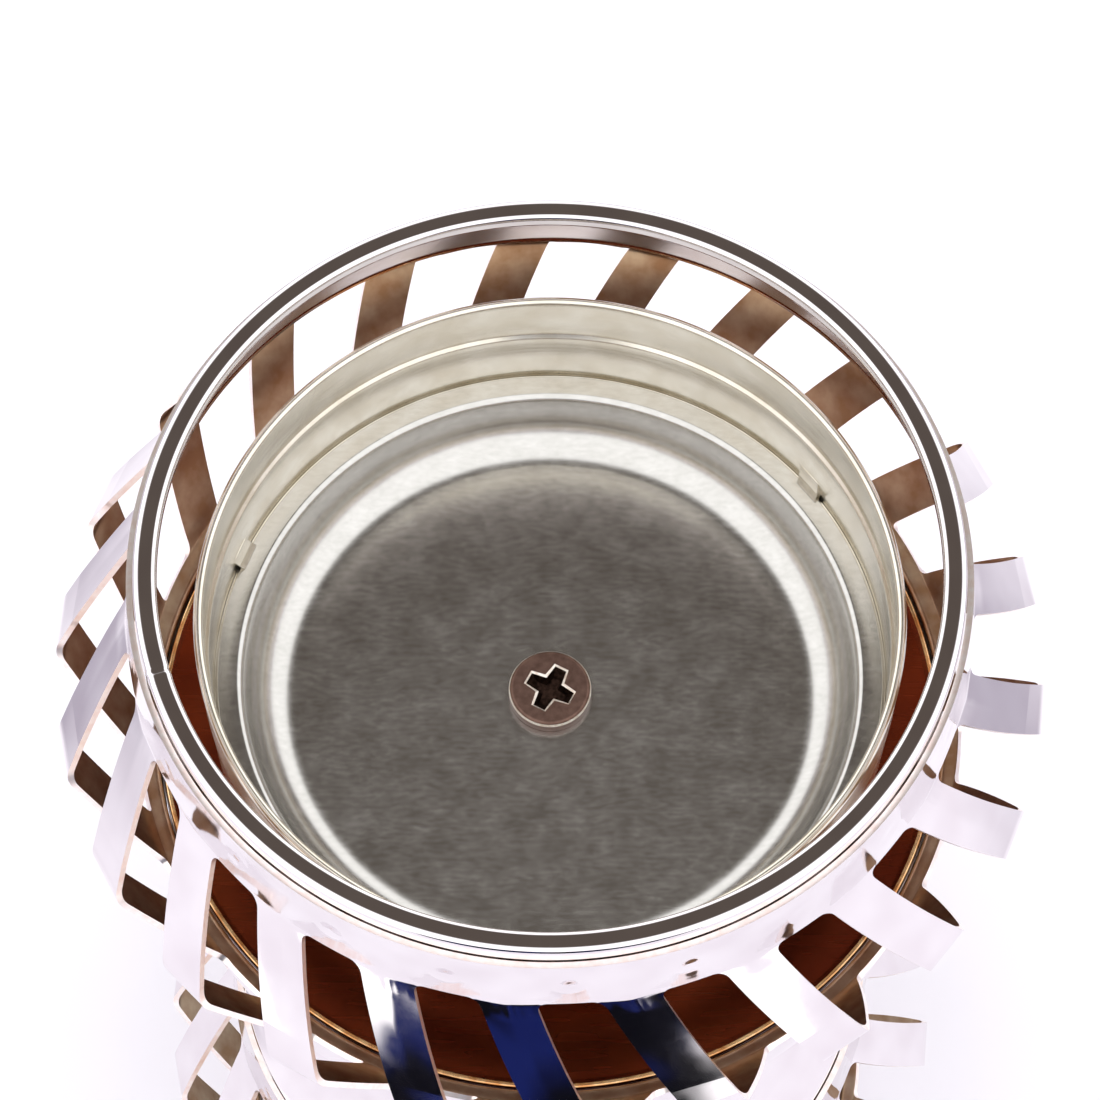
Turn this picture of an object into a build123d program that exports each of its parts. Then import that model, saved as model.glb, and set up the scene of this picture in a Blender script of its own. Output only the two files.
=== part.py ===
"""Two-tier tabletop burner stand with a screwed-in cup, all in thin plated sheet.

Millimetres, +Z up. The origin is on the table, under the middle of the foot.
Two pressed strip cages are joined by a spun neck. A round cup stands on a spacer
in the upper cage, and one rod ties the tiers together down the middle.
"""
from math import radians, sin, tan
import os
from build123d import *

# Sheet, and the play between pieces pushed inside one another
sheet = 0.6
cup_sheet = 0.5
push_fit = 0.1
drop_in_gap = 0.2

# Strip cages: one tool presses both, only the band radius differs
upper_band_radius = 39.0
lower_band_radius = 34.4
strip_count = 22
strip_width = 5.2
strip_twist = 16.4
band_above = 7.6
band_flare = 0.5
band_below = 7.5
rise_to_fold = 13.0
fold_to_band = 13.6
fold_reach = 8.75
nose_inset = 1.95
nose_rise = 3.4
nose_crease_radius = 0.5
nose_radius = 2.0
ledge_width = 1.4
ledge_rise = 0.7
ledge_radius = 0.8
crease_radius = 0.4
window_corner = 1.0
window_overlap = 5.0
window_steps = 6
first_window = -87.5

# Hoops at the rim and the foot
bead_radius = 1.1
bead_stands_out = 0.8
bead_flat = 0.15
hoop_sheet = 0.5
hoop_to_crease = 1.9
plate_below_crease = 0.1

# Neck between the cages
neck_length = 53.3
neck_waist_radius = 25.0
neck_collar = 6.0

# Discs
disc_thickness = 0.7
base_plate_thickness = 0.8

# Cup: a collar ring with three bent tabs that hold the dish down on a shelf
spacer_length = 5.9
spacer_radius = 4.0
cup_to_band = 7.0
dish_rim_width = 2.4
dish_wall_lean = 1.6
dish_depth = 5.4
dish_floor_bend = 4.4
dish_rim_bend = 0.8
dish_to_collar = 0.3
shelf_width = 0.7
collar_above_dish = 14.0
collar_step_drop = 6.4
collar_step = 0.4
lip_bead_radius = 0.45
tab_width = 3.2
tab_height = 3.0
tab_reach = 1.4
tab_angles = (38, 158, 278)

# M4 hardware
thread_radius = 2.0
thread_play = 0.05
hole_play = 0.2
screw_in_coupling = 6.1
screw_head_radius = 4.0
screw_head_height = 1.5
screw_head_round = 0.6
recess_length = 4.5
recess_width = 1.2
recess_depth = 0.9
recess_angle = 62.5
washer_radius = 4.5
washer_thickness = 0.8
nut_flats = 7.0
nut_height = 3.2
coupling_height = 12.0
rod_in_coupling = 4.6
rod_past_nut = 0.9

# Heights worked out from the foot upwards
foot_bead_z = bead_radius - bead_flat
lower_cage_z = foot_bead_z + bead_stands_out
cage_height = band_below + rise_to_fold + fold_to_band + band_above
neck_z = lower_cage_z + cage_height
upper_cage_z = neck_z + neck_length
rim_bead_z = upper_cage_z + cage_height + bead_stands_out
disc_top = upper_cage_z + band_below
disc_bottom = disc_top - disc_thickness
dish_bottom = disc_top + spacer_length
dish_floor = dish_bottom + cup_sheet
dish_rim = dish_floor + dish_depth
rim_skirt = bead_stands_out + band_above - hoop_to_crease
foot_skirt = bead_stands_out + band_below - plate_below_crease
base_plate_z = foot_bead_z + foot_skirt
screw_hole = thread_radius + hole_play


def strip_cage(band_radius, base_z):
    """A drum of sheet whose strips are pressed outwards and twisted between two bands."""
    lower_crease = base_z + band_below
    fold = lower_crease + rise_to_fold
    upper_crease = fold + fold_to_band
    ledge = lower_crease + ledge_rise
    nose = band_radius + fold_reach
    window = window_cutter(band_radius, ledge, upper_crease)
    with BuildPart() as cage:
        with BuildSketch(Plane.XZ):
            with BuildLine():
                FilletPolyline(
                    (band_radius, base_z),
                    (band_radius, lower_crease),
                    (band_radius + ledge_width, ledge),
                    (nose, fold),
                    (nose - nose_inset, fold + nose_rise),
                    (band_radius + band_flare, upper_crease),
                    (band_radius, upper_crease + band_above),
                    radius=[crease_radius, ledge_radius, nose_radius, nose_crease_radius, crease_radius],
                )
                offset(amount=sheet, side=Side.LEFT)
            make_face()
        revolve(axis=Axis.Z)
        with PolarLocations(0, strip_count, start_angle=first_window):
            add(window, mode=Mode.SUBTRACT)
    return cage.part


def window_cutter(band_radius, low, high):
    """The gap between two strips of even width, turning as it goes down."""
    half_pitch = 180 / strip_count
    apex = strip_width / 2 / sin(radians(half_pitch))
    near = band_radius - window_overlap
    far = band_radius + fold_reach + window_overlap
    half_near = (near - apex) * tan(radians(half_pitch))
    half_far = (far - apex) * tan(radians(half_pitch))
    with BuildPart() as cutter:
        for step in range(window_steps + 1):
            height = high - (high - low) * step / window_steps
            turn = strip_twist * step / window_steps
            with BuildSketch(Plane.XY.offset(height).rotated((0, 0, turn))):
                Polygon(
                    (near, -half_near),
                    (far, -half_far),
                    (far, half_far),
                    (near, half_near),
                    align=None,
                )
        loft()
        ends = cutter.faces().sort_by(Axis.Z)
        corners = ends[0].edges() + ends[-1].edges()
        fillet(corners.filter_by(lambda edge: edge.length > far - near), radius=window_corner)
    return cutter.part


def wired_hoop(outer_radius, bead_z, skirt, up):
    """A hoop with a rolled bead on one edge; its skirt runs up (1) or down (-1)."""
    skirt_middle = bead_z + up * skirt / 2
    with BuildPart() as hoop:
        with BuildSketch(Plane.XZ):
            with Locations((outer_radius - bead_radius, bead_z)):
                Circle(bead_radius)
            with Locations((outer_radius - hoop_sheet / 2, skirt_middle)):
                Rectangle(hoop_sheet, skirt)
        revolve(axis=Axis.Z)
        if up > 0:
            with Locations((0, 0, bead_z - bead_radius + bead_flat)):
                foot = (outer_radius, 2 * bead_radius)
                Cylinder(*foot, align=(Align.CENTER, Align.CENTER, Align.MAX), mode=Mode.SUBTRACT)
    return hoop.part


def drilled_disc(radius, thickness, bottom):
    """A flat disc with a clearance hole for the M4 hardware."""
    with BuildPart() as disc:
        with BuildSketch(Plane.XY.offset(bottom)):
            Circle(radius)
            Circle(screw_hole, mode=Mode.SUBTRACT)
        extrude(amount=thickness)
    return disc.part


def hex_nut(height, bottom):
    """A hexagon nut with its thread drawn as a plain bore."""
    with BuildPart() as nut:
        with BuildSketch(Plane.XY.offset(bottom)):
            RegularPolygon(nut_flats / 2, 6, major_radius=False)
            Circle(thread_radius, mode=Mode.SUBTRACT)
        extrude(amount=height)
    return nut.part


def save(part, name):
    """Label a finished piece and write its file."""
    part.label = name
    export_step(part, f"parts/{name}.step")


os.makedirs("parts", exist_ok=True)

# Cages, hoops and discs
save(strip_cage(upper_band_radius, upper_cage_z), "upper_cage")
save(strip_cage(lower_band_radius, lower_cage_z), "lower_cage")
rim_hoop_radius = upper_band_radius - sheet - push_fit
foot_hoop_radius = lower_band_radius - sheet - push_fit
save(wired_hoop(rim_hoop_radius, rim_bead_z, rim_skirt, -1), "rim_hoop")
save(wired_hoop(foot_hoop_radius, foot_bead_z, foot_skirt, 1), "foot_hoop")
disc_radius = upper_band_radius - sheet - drop_in_gap
base_plate_radius = lower_band_radius - sheet - drop_in_gap
save(drilled_disc(disc_radius, disc_thickness, disc_bottom), "support_disc")
save(drilled_disc(base_plate_radius, base_plate_thickness, base_plate_z), "base_plate")

# Neck: its collars push into the bands, and the support disc lies on its upper edge
neck_top_radius = upper_band_radius - sheet - push_fit
neck_foot_radius = lower_band_radius - sheet - push_fit
with BuildPart() as neck:
    with BuildSketch(Plane.XZ):
        with BuildLine():
            lower_collar = Line((neck_foot_radius, neck_z - neck_collar), (neck_foot_radius, neck_z))
            waist = ThreePointArc(
                lower_collar @ 1,
                (neck_waist_radius, neck_z + neck_length / 2),
                (neck_top_radius, upper_cage_z),
            )
            Line(waist @ 1, (neck_top_radius, disc_bottom))
            offset(amount=sheet, side=Side.LEFT)
        make_face()
    revolve(axis=Axis.Z)
save(neck.part, "neck")

# Dish: a shallow pan whose flat rim lies on the collar's shelf
dish_rim_radius = upper_band_radius - cup_to_band
dish_shoulder = dish_rim_radius - dish_rim_width
dish_floor_radius = dish_shoulder - dish_wall_lean
with BuildPart() as dish:
    with BuildSketch(Plane.XZ):
        with BuildLine():
            FilletPolyline(
                (screw_hole, dish_floor),
                (dish_floor_radius, dish_floor),
                (dish_shoulder, dish_rim),
                (dish_rim_radius, dish_rim),
                radius=[dish_floor_bend, dish_rim_bend],
            )
            offset(amount=cup_sheet, side=Side.RIGHT)
        make_face()
    revolve(axis=Axis.Z)
save(dish.part, "dish")

# Collar: the cup's upright wall, with a step, a beaded lip, a shelf and three tabs
collar_inner = dish_rim_radius + dish_to_collar
collar_top = dish_rim + collar_above_dish
collar_step_z = collar_top - collar_step_drop
shelf_top = dish_rim - cup_sheet
with BuildPart() as cup_collar:
    with BuildSketch(Plane.XZ):
        with BuildLine():
            Polyline(
                (collar_inner - shelf_width, shelf_top),
                (collar_inner, shelf_top),
                (collar_inner, collar_step_z - collar_step),
                (collar_inner + collar_step, collar_step_z),
                (collar_inner + collar_step, collar_top - lip_bead_radius),
            )
            offset(amount=cup_sheet, side=Side.RIGHT)
        make_face()
        with Locations((collar_inner + collar_step + cup_sheet / 2, collar_top - lip_bead_radius)):
            Circle(lip_bead_radius)
    revolve(axis=Axis.Z)
    for angle in tab_angles:
        with BuildSketch(Plane.XZ.rotated((0, 0, angle))):
            with Locations((collar_inner, dish_rim)):
                low_corner = (Align.MAX, Align.MIN)
                Rectangle(cup_sheet, tab_height, align=low_corner)
                Rectangle(tab_reach, cup_sheet, align=low_corner)
        extrude(amount=tab_width / 2, both=True)
save(cup_collar.part, "cup_collar")

# Centre screw with a cross recess, long enough to reach well into the coupling nut
screw_length = cup_sheet + spacer_length + disc_thickness + washer_thickness + screw_in_coupling
with BuildPart() as centre_screw:
    with BuildSketch(Plane.XY.offset(dish_floor)):
        Circle(screw_head_radius)
    extrude(amount=screw_head_height)
    fillet(centre_screw.edges().sort_by(Axis.Z)[-1], radius=screw_head_round)
    with BuildSketch(Plane.XY.offset(dish_floor + screw_head_height).rotated((0, 0, recess_angle))):
        Rectangle(recess_length, recess_width)
        Rectangle(recess_width, recess_length)
    extrude(amount=-recess_depth, mode=Mode.SUBTRACT)
    with BuildSketch(Plane.XY.offset(dish_floor)):
        Circle(thread_radius - thread_play)
    extrude(amount=-screw_length)
save(centre_screw.part, "centre_screw")

# Spacer tube between the support disc and the dish
with BuildPart() as spacer:
    with BuildSketch(Plane.XY.offset(disc_top)):
        Circle(spacer_radius)
        Circle(screw_hole, mode=Mode.SUBTRACT)
    extrude(amount=spacer_length)
save(spacer.part, "spacer")

# Tie rod and its hardware, from the support disc down to the base plate
coupling_z = disc_bottom - washer_thickness - coupling_height
base_washer_z = base_plate_z - washer_thickness
base_nut_z = base_washer_z - nut_height
save(drilled_disc(washer_radius, washer_thickness, disc_bottom - washer_thickness), "disc_washer")
save(drilled_disc(washer_radius, washer_thickness, base_washer_z), "base_washer")
save(hex_nut(coupling_height, coupling_z), "coupling_nut")
save(hex_nut(nut_height, base_nut_z), "base_nut")
with BuildPart() as tie_rod:
    with BuildSketch(Plane.XY.offset(base_nut_z - rod_past_nut)):
        Circle(thread_radius)
    extrude(amount=coupling_z + rod_in_coupling - base_nut_z + rod_past_nut)
save(tie_rod.part, "tie_rod")
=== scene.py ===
# %% [markdown]
# # A pressed-strip burner stand, finished in Blender
#
# The stand is thin plated sheet: a rim hoop with a rolled bead, two drums of strips that are
# twisted and folded outwards, a spun neck, and a galvanised dish in a pale nickel collar.
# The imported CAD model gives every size. This lesson rebuilds each piece as a finer mesh
# in the same place, and gives it the metal that the real one is made of.

# %% Load the frame
import math
import random

import bmesh
import bpy
import numpy as np
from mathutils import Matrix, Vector, noise


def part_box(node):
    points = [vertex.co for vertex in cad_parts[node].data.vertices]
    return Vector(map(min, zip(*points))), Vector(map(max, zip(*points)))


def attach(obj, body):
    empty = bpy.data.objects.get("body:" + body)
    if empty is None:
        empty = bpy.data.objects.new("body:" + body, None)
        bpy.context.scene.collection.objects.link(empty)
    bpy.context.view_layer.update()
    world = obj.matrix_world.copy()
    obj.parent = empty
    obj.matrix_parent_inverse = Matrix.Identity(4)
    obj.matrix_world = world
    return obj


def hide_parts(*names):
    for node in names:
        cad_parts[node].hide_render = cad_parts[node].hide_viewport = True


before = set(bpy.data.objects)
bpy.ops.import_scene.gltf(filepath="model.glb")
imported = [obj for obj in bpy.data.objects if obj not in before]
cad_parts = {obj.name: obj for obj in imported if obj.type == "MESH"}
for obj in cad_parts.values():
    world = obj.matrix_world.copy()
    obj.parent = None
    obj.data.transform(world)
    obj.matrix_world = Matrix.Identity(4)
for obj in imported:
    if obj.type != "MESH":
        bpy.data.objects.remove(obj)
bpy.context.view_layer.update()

# %% [markdown]
# ## Millimetres in, metres out
#
# A sheet-metal drawing is in millimetres and Blender works in metres. Every length below is
# written in millimetres, as on the drawing, and is multiplied by MM once, when a mesh is made.
# A node's own box tells where it stands, so no height is guessed here.

# %% Read places from the frame
MM = 0.001


def span(node_name):
    """Lowest height, highest height and outer radius of a CAD node, in millimetres."""
    low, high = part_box(node_name)
    return low.z / MM, high.z / MM, high.x / MM


upper_foot = span("upper_cage")[0]
lower_foot, lower_top, _ = span("lower_cage")
disc_bottom, disc_top, disc_radius = span("support_disc")
hoop_bottom, hoop_top, rim_radius = span("rim_hoop")
_, foot_hoop_top, foot_radius = span("foot_hoop")
dish_bottom, dish_rim, dish_radius = span("dish")
collar_bottom, collar_top, collar_radius = span("cup_collar")
print(f"disc top at {disc_top:.2f} mm, rim top at {hoop_top:.2f} mm, rim radius {rim_radius:.2f} mm")

# %% [markdown]
# ## One function that makes a mesh
#
# Most of the pieces are grids of points worked out with numpy. Handing the finished lists of
# points and faces to Blender in one go is far quicker than adding them one at a time.
# Normals are made to face outwards afterwards, because a solid's normals decide which way
# a bevel or a thickness goes.

# %% Mesh helper


def make_piece(name, points, faces, body="stand", closed=True):
    """Make a smooth mesh object from points in millimetres and let it ride on a body."""
    mesh = bpy.data.meshes.new(name)
    mesh.from_pydata((np.asarray(points) * MM).tolist(), [], faces)
    if closed:
        work = bmesh.new()
        work.from_mesh(mesh)
        bmesh.ops.remove_doubles(work, verts=work.verts, dist=0.0005 * MM)
        bmesh.ops.recalc_face_normals(work, faces=work.faces)
        work.to_mesh(mesh)
        work.free()
    mesh.shade_smooth()
    piece = bpy.data.objects.new(name, mesh)
    bpy.context.scene.collection.objects.link(piece)
    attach(piece, body)
    return piece


def grid_faces(rows, columns, ring=False):
    """Quads over rows of points, where each row closes on itself; ring also closes the rows."""
    faces = []
    for i in range(rows if ring else rows - 1):
        here, there = i * columns, (i + 1) % rows * columns
        for j in range(columns):
            k = (j + 1) % columns
            faces.append((here + j, here + k, there + k, there + j))
    return faces


def spun(x, y, angle):
    """A point turned about the middle axis."""
    return x * math.cos(angle) - y * math.sin(angle), x * math.sin(angle) + y * math.cos(angle)


def round_edges(piece, width, angle=40, segments=2):
    """Give sharp edges the small radius that shearing and tumbling leave, in millimetres."""
    bevel = piece.modifiers.new("edge_radius", "BEVEL")
    bevel.width = width * MM
    bevel.segments = segments
    bevel.limit_method = "ANGLE"
    bevel.angle_limit = math.radians(angle)
    bevel.harden_normals = True
    return bevel


def finish_piece(piece, materials, slot, *nodes):
    """Give a piece its materials and hide the CAD nodes that it stands for; slot is not used."""
    for material in materials:
        piece.data.materials.append(material)
    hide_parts(*nodes)
    print(f"{piece.name}: {len(piece.data.vertices)} points, stands for {', '.join(nodes)}")


# %% [markdown]
# ## Profiles with real bend radii
#
# Sheet never bends to a mathematically sharp corner, and it is the small radius that catches
# a line of light. `rounded` puts an arc at each corner of a profile, as a press tool does.
# `fine` then splits long runs, so that later steps have enough points to move.

# %% Profile helpers


def rounded(corners, radii):
    """Round the inner corners of an open profile of (radius, height) points."""
    path = [np.array(corners[0], float)]
    for before, here, after, radius in zip(corners, corners[1:], corners[2:], radii):
        here = np.array(here, float)
        back = np.array(before, float) - here
        ahead = np.array(after, float) - here
        back /= np.linalg.norm(back)
        ahead /= np.linalg.norm(ahead)
        half = math.acos(max(-1.0, min(1.0, float(back @ ahead)))) / 2
        centre = here + (back + ahead) / np.linalg.norm(back + ahead) * radius / math.sin(half)
        start = here + back * radius / math.tan(half) - centre
        end = here + ahead * radius / math.tan(half) - centre
        first = math.atan2(start[1], start[0])
        sweep = (math.atan2(end[1], end[0]) - first + math.pi) % math.tau - math.pi
        steps = max(3, math.ceil(abs(sweep) / math.radians(10)))
        for t in np.linspace(0, 1, steps + 1):
            turn = first + sweep * t
            path.append(centre + radius * np.array([math.cos(turn), math.sin(turn)]))
    path.append(np.array(corners[-1], float))
    return path


def fine(path, step):
    """Split each run of a path into pieces no longer than step."""
    points = [np.array(path[0], float)]
    for a, b in zip(path, path[1:]):
        a, b = np.array(a, float), np.array(b, float)
        parts = max(1, math.ceil(np.linalg.norm(b - a) / step))
        points += [a + (b - a) * i / parts for i in range(1, parts + 1)]
    return points


def thicken(path, thickness):
    """Close a path into an outline of even thickness, on the left of its direction."""
    line = np.array(path)
    run = np.gradient(line, axis=0)
    run /= np.linalg.norm(run, axis=1)[:, None]
    left = np.stack([-run[:, 1], run[:, 0]], 1)
    return list(line) + list((line + left * thickness)[::-1])


def arc(centre, radius, first, last, steps):
    """Points along an arc in a profile, with angles in degrees."""
    turns = np.radians(np.linspace(first, last, steps))
    return [(centre[0] + radius * math.cos(t), centre[1] + radius * math.sin(t)) for t in turns]


def lathe(name, outline, body="stand", turns=288, shift=None):
    """Turn a closed outline of (radius, height) points about the middle axis.

    shift, where given, moves each point: it takes the radii, heights and angles."""
    angles = np.arange(turns) / turns * math.tau
    radius, around = np.meshgrid(np.array(outline)[:, 0], angles)
    height, _ = np.meshgrid(np.array(outline)[:, 1], angles)
    if shift:
        radius, height = shift(radius, height, around)
    points = np.stack([radius * np.cos(around), radius * np.sin(around), height], -1)
    return make_piece(name, points.reshape(-1, 3), grid_faces(turns, len(outline), True), body)


# %% [markdown]
# ## Colours and nodes
#
# Colours are picked as sRGB hex codes, which is what a colour picker shows, but a shader adds
# up light, so it needs linear values. `linear` is the one place where that is done.
# `add` makes any node, sets it and links it, so that each material below reads as a list.

# %% Material helpers


def linear(code):
    """Turn an sRGB hex code into the linear colour that a shader needs."""
    channels = [int(code[i:i + 2], 16) / 255 for i in (1, 3, 5)]
    return tuple(c / 12.92 if c <= 0.04045 else ((c + 0.055) / 1.055) ** 2.4 for c in channels) + (1.0,)


def add(tree, kind, links=None, **settings):
    """Add a node: settings are its properties, links its inputs as sockets or values."""
    made = tree.nodes.new("ShaderNode" + kind)
    for key, value in settings.items():
        setattr(made, key, value)
    for key, value in (links or {}).items():
        if isinstance(value, bpy.types.NodeSocket):
            tree.links.new(value, made.inputs[key])
        else:
            made.inputs[key].default_value = value
    return made


def start_metal(name, colour, roughness):
    """A bare metal: fully metallic, with the default IOR."""
    material = bpy.data.materials.new(name)
    material.use_nodes = True
    shader = material.node_tree.nodes["Principled BSDF"]
    shader.inputs["Base Color"].default_value = linear(colour)
    shader.inputs["Metallic"].default_value = 1.0
    shader.inputs["Roughness"].default_value = roughness
    return material, material.node_tree, shader


def per_mm(size):
    """Noise scale for a pattern whose features are size millimetres across."""
    return 1000 / size


def two_tone(tree, factor, low, high, darker, lighter):
    """A colour ramp between two finishes, from where the pattern is low to where it is high."""
    ramp = add(tree, "ValToRGB", {"Fac": factor})
    ramp.color_ramp.elements[0].position = low
    ramp.color_ramp.elements[1].position = high
    ramp.color_ramp.elements[0].color = linear(darker)
    ramp.color_ramp.elements[1].color = linear(lighter)
    return ramp.outputs["Color"]


# %% [markdown]
# ## Rose chrome plate, outside
#
# The cages and hoops are steel sheet with a bright nickel and rose-gold flash. What the eye
# gets is a mirror: almost all of the look is what it reflects. Two things stop it looking
# computer made. Pressing leaves the sheet slightly wavy, over 4 to 6 mm, and handling leaves
# a faint haze of about a millimetre. Resistance welding leaves a straw-coloured spot, which is
# read from a value called heat that the cage mesh carries.

# %% Rose chrome plate
rose_chrome, tree, shader = start_metal("rose_chrome_plate", "#dfd9dd", 0.05)
place = add(tree, "TexCoord").outputs["Object"]
press_wave = add(tree, "TexNoise", {"Vector": place, "Scale": per_mm(5), "Detail": 1.0})
haze = add(tree, "TexNoise", {"Vector": place, "Scale": per_mm(0.9), "Detail": 4.0})
bump = add(tree, "Bump", {"Height": press_wave.outputs["Fac"], "Strength": 0.5, "Distance": 0.02 * MM})
tree.links.new(bump.outputs["Normal"], shader.inputs["Normal"])
rough = add(tree, "MapRange", {"Value": haze.outputs["Fac"], "To Min": 0.03, "To Max": 0.09})
tree.links.new(rough.outputs["Result"], shader.inputs["Roughness"])
plate_tone = two_tone(tree, press_wave.outputs["Fac"], 0.3, 0.7, "#dcd5d9", "#e6e1e4")
heat = add(tree, "Attribute", attribute_name="heat").outputs["Fac"]
weld = add(tree, "Mix", {"Factor": heat, "A": plate_tone, "B": linear("#9a7434")}, data_type="RGBA")
tree.links.new(weld.outputs["Result"], shader.inputs["Base Color"])
print("made", rose_chrome.name)

# %% [markdown]
# ## Copper flash, inside, and the sheared edge
#
# Plating is thin where the current could not reach, so the inner faces of the drum keep the
# copper underlayer: browner, softer, and streaky over 2 to 3 mm. The sheared edges take the most
# plating of all and show as a thin pale rose line.

# %% Copper flash and sheared edge
copper_flash, tree, shader = start_metal("copper_flash_inside", "#e3c2a2", 0.3)
place = add(tree, "TexCoord").outputs["Object"]
streak = add(tree, "TexNoise", {"Vector": place, "Scale": per_mm(2.6), "Detail": 3.0})
copper_tone = two_tone(tree, streak.outputs["Fac"], 0.35, 0.7, "#d0a583", "#f0d6ba")
tree.links.new(copper_tone, shader.inputs["Base Color"])
bump = add(tree, "Bump", {"Height": streak.outputs["Fac"], "Strength": 0.4, "Distance": 0.02 * MM})
tree.links.new(bump.outputs["Normal"], shader.inputs["Normal"])

sheared_edge, tree, shader = start_metal("sheared_rose_edge", "#fdf0ea", 0.3)
place = add(tree, "TexCoord").outputs["Object"]
grit = add(tree, "TexNoise", {"Vector": place, "Scale": per_mm(0.9), "Detail": 2.0})
edge_tone = two_tone(tree, grit.outputs["Fac"], 0.3, 0.7, "#f8e6de", "#fff8f4")
tree.links.new(edge_tone, shader.inputs["Base Color"])
print("made", copper_flash.name, "and", sheared_edge.name)

# %% [markdown]
# ## Lacquered copper disc
#
# The disc that closes the drum is copper sheet under a brown lacquer. The lacquer is the
# finish that the eye reads: a deep red-brown that only turns orange where light hits it.
# Rolling leaves faint lines about 0.7 mm apart, all one way. The raised lip is coloured a
# light golden copper, a painted highlight for the thin golden line where light catches it.

# %% Lacquered copper
lacquered_copper, tree, shader = start_metal("lacquered_copper", "#743219", 0.26)
place = add(tree, "TexCoord").outputs["Object"]
rolled = add(tree, "Mapping", {"Vector": place, "Scale": (0.12, 1.0, 1.0)})
lines = add(tree, "TexNoise", {"Vector": rolled.outputs["Vector"], "Scale": per_mm(0.7), "Detail": 0.0})
cloud = add(tree, "TexNoise", {"Vector": place, "Scale": per_mm(9), "Detail": 2.0})
copper_brown = two_tone(tree, cloud.outputs["Fac"], 0.3, 0.7, "#6a2b1a", "#803a20")
tree.links.new(copper_brown, shader.inputs["Base Color"])
rough = add(tree, "MapRange", {"Value": lines.outputs["Fac"], "To Min": 0.25, "To Max": 0.29})
tree.links.new(rough.outputs["Result"], shader.inputs["Roughness"])
bump = add(tree, "Bump", {"Height": lines.outputs["Fac"], "Strength": 0.04, "Distance": 0.01 * MM})
tree.links.new(bump.outputs["Normal"], shader.inputs["Normal"])

# Painted highlight: a light golden copper for the raised lip, standing for the line of light on it.
lip_highlight_copper, tree, shader = start_metal("painted_lip_highlight", "#f0bf86", 0.2)
place = add(tree, "TexCoord").outputs["Object"]
lip_highlight_noise = add(tree, "TexNoise", {"Vector": place, "Scale": per_mm(1.5), "Detail": 3.0})
lip_highlight_tone = two_tone(tree, lip_highlight_noise.outputs["Fac"], 0.35, 0.65, "#dd9f66", "#fbd9a8")
tree.links.new(lip_highlight_tone, shader.inputs["Base Color"])
print("made", lacquered_copper.name, "and", lip_highlight_copper.name)

# %% [markdown]
# ## Pale nickel collar
#
# The cup's collar is drawn steel with a thin champagne nickel plate. A draw die leaves fine
# lines that run round the wall, about 0.3 mm apart, so highlights smear up and down it.

# %% Champagne nickel
champagne_nickel, tree, shader = start_metal("champagne_nickel", "#e2dccf", 0.2)
place = add(tree, "TexCoord").outputs["Object"]
drawn = add(tree, "Mapping", {"Vector": place, "Scale": (0.04, 0.04, 1.0)})
die_lines = add(tree, "TexNoise", {"Vector": drawn.outputs["Vector"], "Scale": per_mm(0.3), "Detail": 2.0})
stain = add(tree, "TexNoise", {"Vector": place, "Scale": per_mm(4), "Detail": 4.0})
nickel_tone = two_tone(tree, stain.outputs["Fac"], 0.3, 0.72, "#d8d0c0", "#e8e3d8")
tree.links.new(nickel_tone, shader.inputs["Base Color"])
rough = add(tree, "MapRange", {"Value": die_lines.outputs["Fac"], "To Min": 0.14, "To Max": 0.3})
tree.links.new(rough.outputs["Result"], shader.inputs["Roughness"])
bump = add(tree, "Bump", {"Height": die_lines.outputs["Fac"], "Strength": 0.3, "Distance": 0.01 * MM})
tree.links.new(bump.outputs["Normal"], shader.inputs["Normal"])
print("made", champagne_nickel.name)

# %% [markdown]
# ## Galvanised dish
#
# The dish is electro-galvanised steel, pressed from coil. Zinc gives it a grey, satin mottle:
# grains of about half a millimetre, which only soften what is mirrored, and clouds of 3 mm.
# The coil's rolling direction shows as grains stretched along X.

# %% Galvanised steel
galvanised, tree, shader = start_metal("galvanised_steel", "#c4c2be", 0.22)
place = add(tree, "TexCoord").outputs["Object"]
coil = add(tree, "Mapping", {"Vector": place, "Scale": (0.4, 1.0, 1.0)})
grains = add(tree, "TexNoise", {"Vector": coil.outputs["Vector"], "Scale": per_mm(0.45), "Detail": 5.0})
clouds = add(tree, "TexNoise", {"Vector": place, "Scale": per_mm(3), "Detail": 3.0})
both = add(tree, "Math", {0: grains.outputs["Fac"], 1: clouds.outputs["Fac"]}, operation="ADD")
mottle = add(tree, "Math", {0: both.outputs["Value"], 1: 0.5}, operation="MULTIPLY")
zinc_tone = two_tone(tree, mottle.outputs["Value"], 0.34, 0.66, "#bdbbb7", "#cac8c5")
tree.links.new(zinc_tone, shader.inputs["Base Color"])
rough = add(tree, "MapRange", {"Value": mottle.outputs["Value"], "From Min": 0.35, "From Max": 0.65,
                               "To Min": 0.19, "To Max": 0.24})
tree.links.new(rough.outputs["Result"], shader.inputs["Roughness"])
bump = add(tree, "Bump", {"Height": grains.outputs["Fac"], "Strength": 0.2, "Distance": 0.02 * MM})
tree.links.new(bump.outputs["Normal"], shader.inputs["Normal"])
print("made", galvanised.name)

# %% [markdown]
# ## Bronzed screw and plain zinc hardware
#
# The screw is steel with a brown bronze finish, matt and slightly reddish, worn bright by the
# driver on the slope round its recess. The rim of its head is painted bright as a painted
# highlight, and the bottom of the recess is painted near-black as painted shade. The nuts,
# washers, rod, spacer and base plate are clear zinc: a bluish grey with a faint bloom.

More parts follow.
